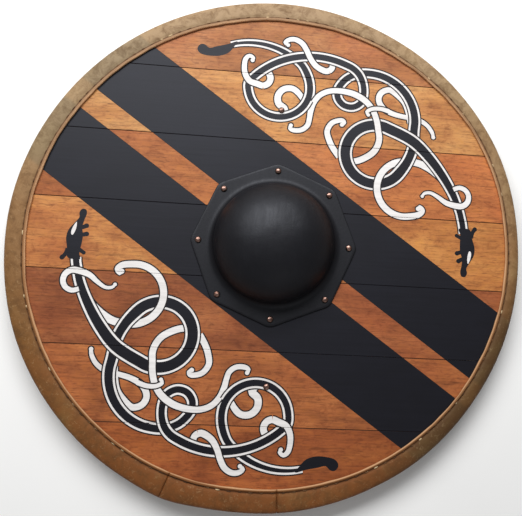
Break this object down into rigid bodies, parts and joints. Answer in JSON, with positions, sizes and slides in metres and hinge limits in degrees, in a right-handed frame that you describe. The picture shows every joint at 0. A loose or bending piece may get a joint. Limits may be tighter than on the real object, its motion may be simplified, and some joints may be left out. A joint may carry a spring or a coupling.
{
  "type": "wooden round shield",
  "caption": "Round shield of flat stained boards edge to edge, with a domed black steel boss over a hand hole, a sewn leather edging and a grip bar across the back.",
  "frame": {"origin": "middle of the grip bar's flat underside, which the shield lies on face up; under the middle of the boss", "axes": "+X along the boards to the right, +Y across the boards and along the grip bar to the shield's top, +Z out of the painted face"},
  "size_m": [0.6484, 0.6484, 0.0904],
  "materials": {
    "stained_boards": "satin orange-brown stain, with matt black and white painting on the face",
    "bar_wood": "oiled, plain",
    "black_steel": "satin black",
    "copper": "peened, slightly dull",
    "rim_leather": "waxed rawhide-like tan leather, sewn"
  },
  "bodies": {
    "root": {"bar_rivet_bottom": "copper", "bar_rivet_top": "copper", "bar_rove_bottom": "copper", "bar_rove_top": "copper", "board_1": "stained_boards", "board_2": "stained_boards", "board_3": "stained_boards", "board_4_left": "stained_boards", "board_4_right": "stained_boards", "board_5": "stained_boards", "board_6": "stained_boards", "board_7": "stained_boards", "boss": "black_steel", "boss_rivet_1": "copper", "boss_rivet_2": "copper", "boss_rivet_3": "copper", "boss_rivet_4": "copper", "boss_rivet_5": "copper", "boss_rivet_6": "copper", "boss_rivet_7": "copper", "boss_rivet_8": "copper", "boss_rove_1": "copper", "boss_rove_2": "copper", "boss_rove_3": "copper", "boss_rove_4": "copper", "boss_rove_5": "copper", "boss_rove_6": "copper", "boss_rove_7": "copper", "boss_rove_8": "copper", "grip_bar": "bar_wood", "rim_strip_long": "rim_leather", "rim_strip_short": "rim_leather"}
  },
  "joints": []
}
